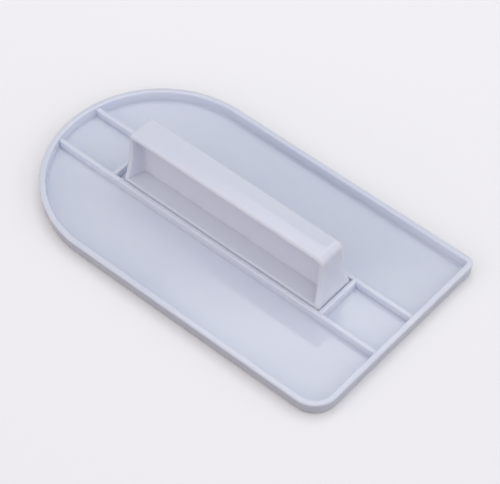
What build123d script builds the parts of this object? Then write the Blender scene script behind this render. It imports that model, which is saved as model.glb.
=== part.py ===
"""Icing smoother: a plate with a raised rim and ribs, and a waisted grip handle bonded into its pocket.

Frame: +X runs from the round end to the square end, +Y is the side with the small corner, +Z is up.
The origin is under the middle of the plate, on its smooth working face.
"""
from build123d import *
import os
from math import atan, degrees

os.makedirs("parts", exist_ok=True)

# Plate outline, at the top of the rim
plate_length = 151.2
plate_width = 85.0
big_corner_radius = 9.5
small_corner_radius = 3.4

# Plate section: floor, rim, and the lean of the rim's two walls
floor_thickness = 1.85
rim_height = 6.1
rim_width = 2.2
outer_wall_lean = 0.65
inner_wall_lean = 0.25
sole_edge_radius = 1.4
rim_outer_radius = 0.65
rim_inner_radius = 0.45
rim_root_radius = 0.7

# Ribs: two long ones from rim to rim, and two short ones that close a pocket for the handle
rib_height = 3.3
rib_top_width = 1.65
pocket_side_lean = 0.06
bay_side_lean = 0.25
rib_edge_radius = 0.5
rib_root_radius = 0.35
pocket_middle = 1.07

# Room between the handle's foot and the walls of the pocket
side_clearance = 0.12
round_end_clearance = 3.15
square_end_clearance = 0.15

# Handle walls: nearly upright, then a cove that sweeps out to the foot; the top has a low ridge along it
handle_height = 24.5
ridge_height = 0.15
handle_top_length = 87.3
handle_top_width = 11.3
round_end_wall_lean = 0.6
square_end_wall_lean = 1.1
side_wall_lean = 0.15
end_cove_height = 7.65
side_cove_height = 18.15
round_end_cove_reach = 0.3
square_end_cove_reach = 0.65
side_cove_reach = 3.0
foot_edge_height = 2.35
grip_edge_radius = 1.1
round_end_edge_radius = 1.7
square_end_edge_radius = 2.9

# Handle recesses: they leave a foot, a web, two end walls and a top flange
foot_thickness = 3.7
flange_thickness = 1.9
web_thickness = 2.5
round_end_wall_thickness = 1.9
square_end_wall_thickness = 2.25
recess_end_lean = 1.8
recess_end_radius = 2.0
recess_root_radius = 0.25
recess_mouth_radius = 0.4

# Reach of a cutting shape past the face that it cuts
overrun = 2.0

half_width = plate_width / 2
square_end_x = plate_length / 2
arc_middle_x = half_width - square_end_x
rib_top_z = floor_thickness + rib_height
round_end_reach = round_end_wall_lean + round_end_cove_reach
square_end_reach = square_end_wall_lean + square_end_cove_reach
foot_length = round_end_reach + handle_top_length + square_end_reach
foot_width = handle_top_width + 2 * (side_wall_lean + side_cove_reach)
recess_length = foot_length - round_end_wall_thickness - square_end_wall_thickness
pocket_length = round_end_clearance + foot_length + square_end_clearance
pocket_width = foot_width + 2 * side_clearance
pocket_left_x = pocket_middle - pocket_length / 2
pocket_right_x = pocket_middle + pocket_length / 2
handle_top_z = floor_thickness + handle_height
foot_edge_z = floor_thickness + foot_edge_height
handle_middle_x = pocket_right_x - square_end_clearance - square_end_reach - handle_top_length / 2

# Along the handle, from the middle of its top
foot_middle = (square_end_reach - round_end_reach) / 2
recess_middle = foot_middle + (round_end_wall_thickness - square_end_wall_thickness) / 2


def lean_angle(lean, height):
    """The angle from upright, in degrees, of a wall that leans by this much over this height."""
    return degrees(atan(lean / height))


def plate_outline(inset):
    """The plate's outline, moved in by inset: a half circle, and a square end with two unlike corners."""
    half = half_width - inset
    square = square_end_x - inset
    big = big_corner_radius - inset
    small = small_corner_radius - inset
    with BuildSketch() as sketch:
        with BuildLine():
            near_side = Line((arc_middle_x, -half), (square - big, -half))
            RadiusArc(near_side @ 1, (square, big - half), -big)
            Line((square, big - half), (square, half - small))
            RadiusArc((square, half - small), (square - small, half), -small)
            far_side = Line((square - small, half), (arc_middle_x, half))
            ThreePointArc(far_side @ 1, (arc_middle_x - half, 0), near_side @ 0)
        make_face()
    return sketch.sketch


def rib(length, plane):
    """A rib on the floor, from the Z axis outwards: upright towards the pocket, leaning towards the bay."""
    top_end = pocket_side_lean + rib_top_width
    foot_end = top_end + bay_side_lean
    root_end = foot_end + rib_root_radius
    root_z = floor_thickness - rib_root_radius
    with BuildSketch(plane) as section:
        with BuildLine():
            Polyline(
                (0, root_z),
                (0, floor_thickness),
                (pocket_side_lean, rib_top_z),
                (top_end, rib_top_z),
                (foot_end, floor_thickness),
                (root_end, floor_thickness),
                (root_end, root_z),
                close=True,
            )
        make_face()
    face = section.sketch.faces()[0]
    root_corner = face.vertices().sort_by_distance(plane.from_local_coords((foot_end, floor_thickness)))[0]
    return extrude(fillet(root_corner, rib_root_radius), length / 2, both=True)


def make_tray():
    """The floor and the rim: a leaning outer wall round a tray that opens upwards."""
    wall_height = rim_height - floor_thickness
    body = extrude(plate_outline(outer_wall_lean), rim_height, taper=-lean_angle(outer_wall_lean, rim_height))
    hollow = extrude(
        Pos(0, 0, floor_thickness) * plate_outline(rim_width + inner_wall_lean),
        wall_height,
        taper=-lean_angle(inner_wall_lean, wall_height),
    )
    rim_root = hollow.faces().sort_by(Axis.Z)[0].edges()
    return body - fillet(rim_root, rim_root_radius)


def round_rim(tray):
    """Rounds the two edges of the rim, and the edge of the working face."""
    rim_top = tray.faces().filter_by(Axis.Z).sort_by(Axis.Z)[-1]
    tray = fillet(rim_top.outer_wire().edges(), rim_outer_radius)
    rim_top = tray.faces().filter_by(Axis.Z).sort_by(Axis.Z)[-1]
    tray = fillet(rim_top.inner_wires()[0].edges(), rim_inner_radius)
    working_face = tray.faces().sort_by(Axis.Z)[0]
    return fillet(working_face.outer_wire().edges(), sole_edge_radius)


def make_ribs():
    """Two long ribs that run into the rim, and two short ribs across the space between them."""
    cross_length = pocket_width + rib_top_width
    far_rib = Pos(0, pocket_width / 2, 0) * rib(plate_length, Plane.YZ)
    stop_rib = rib(cross_length, Plane.XZ)
    ribs = (far_rib + mirror(far_rib, about=Plane.XZ)) & extrude(plate_outline(rim_width), rim_height)
    ribs += Pos(pocket_right_x, 0, 0) * stop_rib
    ribs += Pos(pocket_left_x, 0, 0) * mirror(stop_rib, about=Plane.YZ)
    return ribs


def make_plate():
    """The whole plate, with the tops of its ribs rounded."""
    plate = round_rim(make_tray()) + make_ribs()
    lowest_z = rib_top_z - rib_edge_radius
    highest_z = rib_top_z + rib_edge_radius
    rib_tops = plate.faces().filter_by(Axis.Z).filter_by_position(Axis.Z, lowest_z, highest_z)
    inside_x = square_end_x - 2 * rim_width
    long_edges = rib_tops.edges().filter_by(Axis.X)
    cross_edges = rib_tops.edges().filter_by(Axis.Y).filter_by_position(Axis.X, -inside_x, inside_x)
    return fillet(long_edges + cross_edges, rib_edge_radius)


def half_section(plane, half_top, top_drop, lean, cove_height, reach):
    """The handle's outline on one side of its middle: a nearly upright wall that sweeps out in a cove."""
    with BuildSketch(plane) as section:
        with BuildLine():
            wall = Line((half_top, handle_top_z - top_drop), (half_top + lean, floor_thickness + cove_height))
            cove = TangentArc(wall @ 1, (half_top + lean + reach, foot_edge_z), tangent=wall % 1)
            Polyline(cove @ 1, (0, foot_edge_z), (0, handle_top_z), wall @ 0)
        make_face()
    return section.sketch


def end_half(lean, reach):
    """The half of the long view's outline at one end."""
    return half_section(Plane.XZ, handle_top_length / 2, 0, lean, end_cove_height, reach)


def top_edges(block):
    """The edges of the top's two slopes, in groups from the round end to the square end."""
    return block.faces().sort_by(Axis.Z)[-2:].edges().group_by(Axis.X)


def handle_block():
    """The handle before its recesses: it has a ridged top, unlike ends and round edges."""
    round_half = mirror(end_half(round_end_wall_lean, round_end_cove_reach), about=Plane.YZ)
    long_view = round_half + end_half(square_end_wall_lean, square_end_cove_reach)
    side_half = half_section(
        Plane.YZ, handle_top_width / 2, ridge_height, side_wall_lean, side_cove_height, side_cove_reach
    )
    end_view = side_half + mirror(side_half, about=Plane.XZ)
    block = extrude(long_view, foot_width, both=True) & extrude(end_view, foot_length, both=True)
    block = fillet(top_edges(block)[0], round_end_edge_radius)
    block = fillet(top_edges(block)[-1], square_end_edge_radius)
    lengthwise = block.edges().filter_by(Axis.X).sort_by(Axis.Z)
    side_top_edges = lengthwise[-3:-1]
    outer_edges = block.edges().filter_by(lambda edge: abs(edge.center().Y) > handle_top_width / 3)
    crosswise = outer_edges.filter_by(lambda edge: edge.bounding_box().size.Y > edge.bounding_box().size.Z)
    block = fillet(outer_edges - crosswise - lengthwise + side_top_edges, grip_edge_radius)
    foot_face = block.faces().sort_by(Axis.Z)[0]
    return block + extrude(foot_face, foot_edge_height)


def recess_cutter():
    """The space that is taken out of the near side: it narrows towards the web, with round ends."""
    half_mouth = recess_length / 2
    half_root = half_mouth - recess_end_lean
    mouth_y = -foot_width / 2
    root_y = -web_thickness / 2
    height = handle_height - foot_thickness - flange_thickness
    with BuildSketch(Plane.XY.offset(floor_thickness + foot_thickness)) as plan:
        with BuildLine():
            Polyline(
                (-half_mouth, mouth_y - overrun),
                (-half_mouth, mouth_y),
                (-half_root, root_y),
                (half_root, root_y),
                (half_mouth, mouth_y),
                (half_mouth, mouth_y - overrun),
                close=True,
            )
        make_face()
        fillet(plan.vertices().group_by(Axis.Y)[-1], recess_end_radius)
    cutter = Pos(recess_middle, 0, 0) * extrude(plan.sketch, height)
    level_faces = cutter.faces().filter_by(Axis.Z)
    inner_edges = level_faces.edges().filter_by(lambda edge: edge.center().Y > mouth_y)
    return fillet(inner_edges, recess_root_radius)


def make_handle():
    """The handle, in its place in the pocket, up against the rib at the square end."""
    block = handle_block()
    near_cutter = recess_cutter()
    far_cutter = mirror(near_cutter, about=Plane.XZ)
    handle = block - near_cutter - far_cutter
    mouth_edges = new_edges(block, near_cutter, far_cutter, combined=handle)
    handle = fillet(mouth_edges, recess_mouth_radius)
    return Pos(handle_middle_x, 0, 0) * handle


plate = make_plate()
plate.label = "smoothing_plate"
export_step(plate, "parts/smoothing_plate.step")

handle = make_handle()
handle.label = "handle"
export_step(handle, "parts/handle.step")
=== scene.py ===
from math import cos, pi, radians, sin

import bpy
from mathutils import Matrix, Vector

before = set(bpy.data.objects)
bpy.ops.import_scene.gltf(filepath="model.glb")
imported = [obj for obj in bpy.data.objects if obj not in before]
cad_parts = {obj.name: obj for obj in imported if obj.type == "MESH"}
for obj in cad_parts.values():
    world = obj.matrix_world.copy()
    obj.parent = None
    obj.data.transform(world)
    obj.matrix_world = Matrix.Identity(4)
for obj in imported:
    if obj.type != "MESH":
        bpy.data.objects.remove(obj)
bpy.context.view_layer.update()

# Camera
# It stands off the near side, towards the square end, and looks down at the plate through a long lens.
# The plate lies level in the picture, and the lens has no shift.
scene = bpy.context.scene
scene.view_settings.view_transform = "Standard"
camera_turn = radians(40.928)
camera_rise = radians(50.627)
camera_distance = 0.7607
camera_aim = Vector((0.0080, 0.0017, 0.0))
away = Vector((sin(camera_turn) * cos(camera_rise), -cos(camera_turn) * cos(camera_rise), sin(camera_rise)))
camera_lens = bpy.data.cameras.new("camera_lens")
camera_lens.sensor_width = 36.0
camera_lens.lens = 157.19
camera = bpy.data.objects.new("camera", camera_lens)
camera.location = camera_aim + camera_distance * away
camera.rotation_euler = (pi / 2 - camera_rise, 0.0, camera_turn)
scene.collection.objects.link(camera)
scene.camera = camera


# Table
# The smoother lies on a plain pale table top, far wider than the picture, whose matt paint keeps a soft shadow.
# It is pale where it is seen, directly or in the shiny plastic, and throws little light on the object.
table_half = 3.0
table_colour = (0.88, 0.88, 0.89, 1.0)
table_bounce_colour = (0.07, 0.07, 0.075, 1.0)
table_lift = 0.12
table_mesh = bpy.data.meshes.new("table_top")
corners = [(-1, -1), (1, -1), (1, 1), (-1, 1)]
table_mesh.from_pydata([(x * table_half, y * table_half, 0.0) for x, y in corners], [], [(0, 1, 2, 3)])
table = bpy.data.objects.new("table_top", table_mesh)
scene.collection.objects.link(table)
table_paint = bpy.data.materials.new("table_paint")
table_paint.use_nodes = True
paint_nodes = table_paint.node_tree.nodes
paint_links = table_paint.node_tree.links
paint_shader = paint_nodes["Principled BSDF"]
ray = paint_nodes.new("ShaderNodeLightPath")
seen = ray.outputs["Is Camera Ray"]
for kind in ("Is Glossy Ray", "Is Transmission Ray"):
    either = paint_nodes.new("ShaderNodeMath")
    either.operation = "MAXIMUM"
    paint_links.new(seen, either.inputs[0])
    paint_links.new(ray.outputs[kind], either.inputs[1])
    seen = either.outputs[0]
tint = paint_nodes.new("ShaderNodeMix")
tint.data_type = "RGBA"
tint.inputs["A"].default_value = table_bounce_colour
tint.inputs["B"].default_value = table_colour
paint_links.new(seen, tint.inputs["Factor"])
paint_links.new(tint.outputs["Result"], paint_shader.inputs["Base Color"])
lift = paint_nodes.new("ShaderNodeMath")
lift.operation = "MULTIPLY"
lift.inputs[1].default_value = table_lift
paint_links.new(seen, lift.inputs[0])
paint_links.new(lift.outputs[0], paint_shader.inputs["Emission Strength"])
paint_shader.inputs["Emission Color"].default_value = (1.0, 1.0, 1.0, 1.0)
paint_shader.inputs["Roughness"].default_value = 0.9
paint_shader.inputs["Specular IOR Level"].default_value = 0.1
table_mesh.materials.append(table_paint)


# Studio light
# One large softbox hangs over the plate, and its far left corner is mirrored in the near bay. Its cloth glows
# less towards the far and left edges. The room is dim, but brighter overhead, at the front and on the right.
softbox_height = 0.90
softbox_left = -0.061
softbox_right = 0.42
softbox_near = 0.10
softbox_far = 0.705
softbox_left_slant = 0.44
softbox_glow = 2.10
softbox_edge_share = 0.35
softbox_edge_width = 0.07
upward = Vector((0.0, 0.0, 1.0))
softbox_near_left = softbox_left - softbox_left_slant * (softbox_far - softbox_near)
softbox_outline = [
    (softbox_near_left, softbox_near),
    (softbox_left, softbox_far),
    (softbox_right, softbox_far),
    (softbox_right, softbox_near),
]
softbox_mesh = bpy.data.meshes.new("softbox")
softbox_mesh.from_pydata([(x, y, 0.0) for x, y in softbox_outline], [], [(0, 1, 2, 3)])
softbox = bpy.data.objects.new("softbox", softbox_mesh)
softbox.location = upward * softbox_height
softbox.rotation_euler = (0.0, 0.0, camera_turn)
scene.collection.objects.link(softbox)
cloth = bpy.data.materials.new("softbox_cloth")
cloth.use_nodes = True
cloth_nodes = cloth.node_tree.nodes
cloth_links = cloth.node_tree.links
cloth_nodes.remove(cloth_nodes["Principled BSDF"])
cloth_spot = cloth_nodes.new("ShaderNodeTexCoord")

# How far a spot of the cloth lies in from the far and the left edge: a direction and an offset for each.
inset = None
dim_edges = [
    ((0.0, -1.0, 0.0), softbox_far),
    ((1.0, -softbox_left_slant, 0.0), softbox_left_slant * softbox_far - softbox_left),
]
for edge_direction, edge_offset in dim_edges:
    along = cloth_nodes.new("ShaderNodeVectorMath")
    along.operation = "DOT_PRODUCT"
    along.inputs[1].default_value = edge_direction
    cloth_links.new(cloth_spot.outputs["Object"], along.inputs[0])
    gap = cloth_nodes.new("ShaderNodeMath")
    gap.operation = "ADD"
    gap.inputs[1].default_value = edge_offset
    cloth_links.new(along.outputs["Value"], gap.inputs[0])
    if inset is not None:
        nearer = cloth_nodes.new("ShaderNodeMath")
        nearer.operation = "MINIMUM"
        cloth_links.new(inset.outputs[0], nearer.inputs[0])
        cloth_links.new(gap.outputs[0], nearer.inputs[1])
        gap = nearer
    inset = gap
cloth_glow = cloth_nodes.new("ShaderNodeMapRange")
cloth_glow.inputs["From Max"].default_value = softbox_edge_width
cloth_glow.inputs["To Min"].default_value = softbox_glow * softbox_edge_share
cloth_glow.inputs["To Max"].default_value = softbox_glow
cloth_links.new(inset.outputs[0], cloth_glow.inputs["Value"])
cloth_light = cloth_nodes.new("ShaderNodeEmission")
cloth_links.new(cloth_glow.outputs["Result"], cloth_light.inputs["Strength"])
cloth_links.new(cloth_light.outputs["Emission"], cloth_nodes["Material Output"].inputs["Surface"])
softbox_mesh.materials.append(cloth)

front_direction = Vector((-0.24, -0.92, 0.42)).normalized()
right_direction = Vector((0.93, 0.30, 0.25)).normalized()
room_glow = (0.20, 0.20, 0.215)
room_lobes = [
    ("overhead", upward, 1.0, (0.28, 0.31, 0.355)),
    ("front", front_direction, 3.0, (0.89, 0.75, 0.70)),
    ("right", right_direction, 3.0, (1.10, 1.04, 1.04)),
]
room = bpy.data.worlds.new("room")
room.use_nodes = True
scene.world = room
room_nodes = room.node_tree.nodes
room_links = room.node_tree.links
looking = room_nodes.new("ShaderNodeTexCoord")
sky = None
for lobe_name, lobe_direction, lobe_tightness, lobe_colour in room_lobes:
    facing = room_nodes.new("ShaderNodeVectorMath")
    facing.operation = "DOT_PRODUCT"
    facing.inputs[1].default_value = lobe_direction
    room_links.new(looking.outputs["Generated"], facing.inputs[0])
    lobe = room_nodes.new("ShaderNodeMapRange")
    room_links.new(facing.outputs["Value"], lobe.inputs["Value"])
    tight = room_nodes.new("ShaderNodeMath")
    tight.operation = "POWER"
    tight.inputs[1].default_value = lobe_tightness
    room_links.new(lobe.outputs["Result"], tight.inputs[0])
    glow = room_nodes.new("ShaderNodeVectorMath")
    glow.label = lobe_name
    glow.operation = "MULTIPLY_ADD"
    glow.inputs[0].default_value = lobe_colour
    room_links.new(tight.outputs[0], glow.inputs[1])
    glow.inputs[2].default_value = room_glow
    if sky is not None:
        room_links.new(sky.outputs["Vector"], glow.inputs[2])
    sky = glow
room_links.new(sky.outputs["Vector"], room_nodes["Background"].inputs["Color"])


# Smoothing plate
# One injection moulding in white plastic, with the gloss of a polished mould on its floor, ribs and rim.
# It lies on its smooth working face. Four ejector pins left faint rings on the floor of the tray.
def new_effect(name, inputs, outputs):
    """An empty shader node group with these named sockets, and the nodes of its two ends."""
    effect = bpy.data.node_groups.new(name, "ShaderNodeTree")
    for socket_name, socket_type, value in inputs:
        socket = effect.interface.new_socket(socket_name, in_out="INPUT", socket_type=socket_type)
        socket.default_value = value
    for socket_name, socket_type in outputs:
        effect.interface.new_socket(socket_name, in_out="OUTPUT", socket_type=socket_type)
    return effect, effect.nodes.new("NodeGroupInput"), effect.nodes.new("NodeGroupOutput")


def place_effect(tree, effect, **values):
    """The effect as a node of this tree, with its own values on the named inputs."""
    node = tree.nodes.new("ShaderNodeGroup")
    node.node_tree = effect
    for socket_name, value in values.items():
        node.inputs[socket_name.replace("_", " ")].default_value = value
    return node


def cloud(tree, stretch, detail, turn=0.0):
    """Noise over the plastic. Stretch is how many clouds a metre holds on each axis, after a turn about Z."""
    spot = tree.nodes.new("ShaderNodeTexCoord")
    placed = tree.nodes.new("ShaderNodeMapping")
    placed.inputs["Rotation"].default_value = (0.0, 0.0, turn)
    placed.inputs["Scale"].default_value = stretch
    noise = tree.nodes.new("ShaderNodeTexNoise")
    noise.inputs["Scale"].default_value = 1.0
    noise.inputs["Detail"].default_value = detail
    tree.links.new(spot.outputs["Object"], placed.inputs["Vector"])
    tree.links.new(placed.outputs["Vector"], noise.inputs["Vector"])
    return noise.outputs["Fac"]


def spread(tree, value, low, high, to_low=0.0, to_high=1.0):
    """The value, taken from the range low to high to the new range, with smooth ends."""
    ramp = tree.nodes.new("ShaderNodeMapRange")
    ramp.interpolation_type = "SMOOTHSTEP"
    ramp.inputs["From Min"].default_value = low
    ramp.inputs["From Max"].default_value = high
    ramp.inputs["To Min"].default_value = to_low
    ramp.inputs["To Max"].default_value = to_high
    tree.links.new(value, ramp.inputs["Value"])
    return ramp.outputs["Result"]


def combine(tree, operation, first, second):
    """One step of arithmetic on two values, of which the second may be a plain number."""
    node = tree.nodes.new("ShaderNodeMath")
    node.operation = operation
    tree.links.new(first, node.inputs[0])
    if isinstance(second, float):
        node.inputs[1].default_value = second
    else:
        tree.links.new(second, node.inputs[1])
    return node.outputs[0]


def distance(tree, value, middle):
    """How far the value lies from the middle, on either side of it."""
    return combine(tree, "ABSOLUTE", combine(tree, "SUBTRACT", value, middle), 0.0)


def blend_colours(tree, share, first, second):
    """A mix of two colours by the share, each a socket or a plain colour."""
    mix = tree.nodes.new("ShaderNodeMix")
    mix.data_type = "RGBA"
    tree.links.new(share, mix.inputs["Factor"])
    for socket, colour in ((mix.inputs["A"], first), (mix.inputs["B"], second)):
        if isinstance(colour, tuple):
            socket.default_value = colour
        else:
            tree.links.new(colour, socket)
    return mix.outputs["Result"]


# The plastic's tone drifts a little along the way that it flowed, and it holds fine specks of pigment.
flow_clouds = (11.0, 38.0, 38.0)
flow_detail = 3.0
flow_range = (0.35, 0.65)
speck_clouds = (1500.0, 1500.0, 1500.0)
speck_detail = 1.0
speck_range = (0.62, 0.80)
tone_inputs = [
    ("Body Colour", "NodeSocketColor", (0.8, 0.8, 0.8, 1.0)),
    ("Flow Colour", "NodeSocketColor", (0.75, 0.75, 0.75, 1.0)),
    ("Speck Colour", "NodeSocketColor", (0.7, 0.7, 0.7, 1.0)),
]
moulded_tone, tone_in, tone_out = new_effect("moulded_tone", tone_inputs, [("Colour", "NodeSocketColor")])
flow = spread(moulded_tone, cloud(moulded_tone, flow_clouds, flow_detail), *flow_range)
flowed = blend_colours(moulded_tone, flow, tone_in.outputs["Body Colour"], tone_in.outputs["Flow Colour"])
specks = spread(moulded_tone, cloud(moulded_tone, speck_clouds, speck_detail), *speck_range)
toned = blend_colours(moulded_tone, specks, flowed, tone_in.outputs["Speck Colour"])
moulded_tone.links.new(toned, tone_out.inputs["Colour"])

# Edges are rubbed by the hand, the drawer and the worktop, in patches. An edge is where the rounded normal
# turns away from the surface's own; the mask finds inside corners and creases too, and its colour there is
# painted shade.
edge_mask_reach = 0.0004
edge_patch_clouds = (160.0, 160.0, 160.0)
edge_patch_detail = 3.0
edge_patch_range = (0.40, 0.62)
edge_likeness_range = (0.90, 0.995)
edge_mask_inputs = [("Reach", "NodeSocketFloat", edge_mask_reach)]
edge_rub_and_crease_shade, edge_mask_in, edge_mask_out = new_effect("edge_rub_and_crease_shade", edge_mask_inputs, [("Rub And Crease Shade", "NodeSocketFloat")])
rounded = edge_rub_and_crease_shade.nodes.new("ShaderNodeBevel")
rounded.samples = 6
edge_rub_and_crease_shade.links.new(edge_mask_in.outputs["Reach"], rounded.inputs["Radius"])
surface = edge_rub_and_crease_shade.nodes.new("ShaderNodeNewGeometry")
likeness = edge_rub_and_crease_shade.nodes.new("ShaderNodeVectorMath")
likeness.operation = "DOT_PRODUCT"
edge_rub_and_crease_shade.links.new(rounded.outputs["Normal"], likeness.inputs[0])
edge_rub_and_crease_shade.links.new(surface.outputs["Normal"], likeness.inputs[1])
edge = spread(edge_rub_and_crease_shade, likeness.outputs["Value"], *edge_likeness_range, to_low=1.0, to_high=0.0)
patches = spread(edge_rub_and_crease_shade, cloud(edge_rub_and_crease_shade, edge_patch_clouds, edge_patch_detail), *edge_patch_range)
edge_rub_and_crease_shade.links.new(combine(edge_rub_and_crease_shade, "MULTIPLY", edge, patches), edge_mask_out.inputs["Rub And Crease Shade"])

# Wiping and storage leave hairlines that cross at a few angles, thicker in some places than in others.
hairline_clouds = (45.0, 2600.0, 45.0)
hairline_detail = 1.0
hairline_range = (0.66, 0.74)
hairline_turns = (0.35, -0.9, 1.9)
wiped_clouds = (30.0, 30.0, 30.0)
wiped_detail = 2.0
wiped_range = (0.42, 0.70)
handling_marks, _, marks_out = new_effect("handling_marks", [], [("Marks", "NodeSocketFloat")])
hairlines = None
for turn in hairline_turns:
    scratches = cloud(handling_marks, hairline_clouds, hairline_detail, turn)
    lines = spread(handling_marks, scratches, *hairline_range)
    hairlines = lines if hairlines is None else combine(handling_marks, "MAXIMUM", hairlines, lines)
wiped = spread(handling_marks, cloud(handling_marks, wiped_clouds, wiped_detail), *wiped_range)
handling_marks.links.new(combine(handling_marks, "MULTIPLY", hairlines, wiped), marks_out.inputs["Marks"])

# The skin isn't quite flat: it sinks a little as it cools, and it keeps a trace of the mould's polishing.
sink_clouds = (55.0, 55.0, 55.0)
sink_detail = 1.0
polish_clouds = (700.0, 700.0, 700.0)
polish_detail = 2.0
polish_share = 0.04
mould_skin, _, skin_out = new_effect("mould_skin", [], [("Height", "NodeSocketFloat")])
sink = cloud(mould_skin, sink_clouds, sink_detail)
polish = combine(mould_skin, "MULTIPLY", cloud(mould_skin, polish_clouds, polish_detail), polish_share)
mould_skin.links.new(combine(mould_skin, "ADD", sink, polish), skin_out.inputs["Height"])

# What the effects do to the plastic: a speck is a little darker, and a hairline and a rubbed edge are duller.
speck_shade_share = 0.985
hairline_dulling = 0.05
rub_dulling = 0.08


def moulded_plastic(name, body_colour, flow_colour, rubbed_and_crease_shade_colour, roughness, skin_depth):
    """A white plastic with all four effects, its skin's height socket, and the bump node that takes it."""
    plastic = bpy.data.materials.new(name)
    plastic.use_nodes = True
    tree = plastic.node_tree
    shader = tree.nodes["Principled BSDF"]
    shader.inputs["IOR"].default_value = 1.5
    shader.inputs["Subsurface Weight"].default_value = 1.0
    shader.inputs["Subsurface Radius"].default_value = (1.0, 0.95, 0.9)
    shader.inputs["Subsurface Scale"].default_value = 0.0015
    speck_colour = tuple(channel * speck_shade_share for channel in flow_colour[:3]) + (1.0,)
    tone = place_effect(
        tree, moulded_tone, Body_Colour=body_colour, Flow_Colour=flow_colour, Speck_Colour=speck_colour
    )
    rub_and_shade = place_effect(tree, edge_rub_and_crease_shade, Reach=edge_mask_reach)
    marks = place_effect(tree, handling_marks)
    skin = place_effect(tree, mould_skin)
    # Edges take the darker, warmer rubbed colour: wear on outer edges, painted shade in inside corners and
    # creases.
    colour = blend_colours(tree, rub_and_shade.outputs["Rub And Crease Shade"], tone.outputs["Colour"], rubbed_and_crease_shade_colour)
    gloss = spread(tree, marks.outputs["Marks"], 0.0, 1.0, roughness, roughness + hairline_dulling)
    worn_gloss = combine(tree, "ADD", gloss, spread(tree, rub_and_shade.outputs["Rub And Crease Shade"], 0.0, 1.0, 0.0, rub_dulling))
    bump = tree.nodes.new("ShaderNodeBump")
    bump.inputs["Distance"].default_value = skin_depth
    tree.links.new(colour, shader.inputs["Base Color"])
    tree.links.new(worn_gloss, shader.inputs["Roughness"])
    tree.links.new(skin.outputs["Height"], bump.inputs["Height"])
    tree.links.new(bump.outputs["Normal"], shader.inputs["Normal"])
    return plastic, skin.outputs["Height"], bump


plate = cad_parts["smoothing_plate"]
plate_plastic, plate_skin, plate_bump = moulded_plastic(
    "plate_plastic",
    body_colour=(0.745, 0.785, 0.875, 1.0),
    flow_colour=(0.73, 0.77, 0.865, 1.0),
    # The rubbed colour is wear on outer edges, and painted shade in inside corners and creases.
    rubbed_and_crease_shade_colour=(0.76, 0.745, 0.785, 1.0),
    roughness=0.03,
    skin_depth=0.0000035,
)

# The pin rings lie at equal distances from a middle, along X and along Y. Their depth is in skin depths.
pin_mark_middle = (0.0024, 0.0)
pin_mark_spread = (0.0644, 0.0211)
pin_mark_radius = 0.0024
pin_mark_edge = 0.00018
pin_mark_depth = 6.0
floor_top = 0.00185
floor_fade = (0.0001, 0.0002)
plate_tree = plate_plastic.node_tree
plate_spot = plate_tree.nodes.new("ShaderNodeTexCoord")
plate_axes = plate_tree.nodes.new("ShaderNodeSeparateXYZ")
plate_tree.links.new(plate_spot.outputs["Object"], plate_axes.inputs["Vector"])
from_pin = []
for axis_name, middle, half_span in zip("XY", pin_mark_middle, pin_mark_spread):
    outward = distance(plate_tree, plate_axes.outputs[axis_name], middle)
    offset = combine(plate_tree, "SUBTRACT", outward, half_span)
    from_pin.append(combine(plate_tree, "MULTIPLY", offset, offset))
pin_distance = combine(plate_tree, "POWER", combine(plate_tree, "ADD", *from_pin), 0.5)
from_ring = distance(plate_tree, pin_distance, pin_mark_radius)
ring = spread(plate_tree, from_ring, 0.0, pin_mark_edge, to_low=1.0, to_high=0.0)
from_floor = distance(plate_tree, plate_axes.outputs["Z"], floor_top)
on_floor = spread(plate_tree, from_floor, *floor_fade, to_low=1.0, to_high=0.0)
pin_marks = combine(plate_tree, "MULTIPLY", ring, on_floor)
pin_groove = combine(plate_tree, "MULTIPLY", pin_marks, -pin_mark_depth)
plate_height = combine(plate_tree, "ADD", plate_skin, pin_groove)
plate_tree.links.new(plate_height, plate_bump.inputs["Height"])
plate.data.materials.clear()
plate.data.materials.append(plate_plastic)


# Handle
# A second moulding in the same plastic, which stands in the plate's pocket and is cemented under its foot.
# It has a finger recess on each side. Its mould is less polished than the plate's, so it is less glossy.
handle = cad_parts["handle"]
handle_plastic, _, _ = moulded_plastic(
    "handle_plastic",
    # Its colours are a little lighter than the plate's, though the plastic is the same: painted light, which
    # makes its top render brighter than the tray floor.
    body_colour=(0.765, 0.795, 0.87, 1.0),
    flow_colour=(0.75, 0.78, 0.86, 1.0),
    # The rubbed colour is wear on outer edges, and painted shade in inside corners and creases.
    rubbed_and_crease_shade_colour=(0.775, 0.785, 0.84, 1.0),
    roughness=0.12,
    skin_depth=0.000003,
)
handle.data.materials.clear()
handle.data.materials.append(handle_plastic)
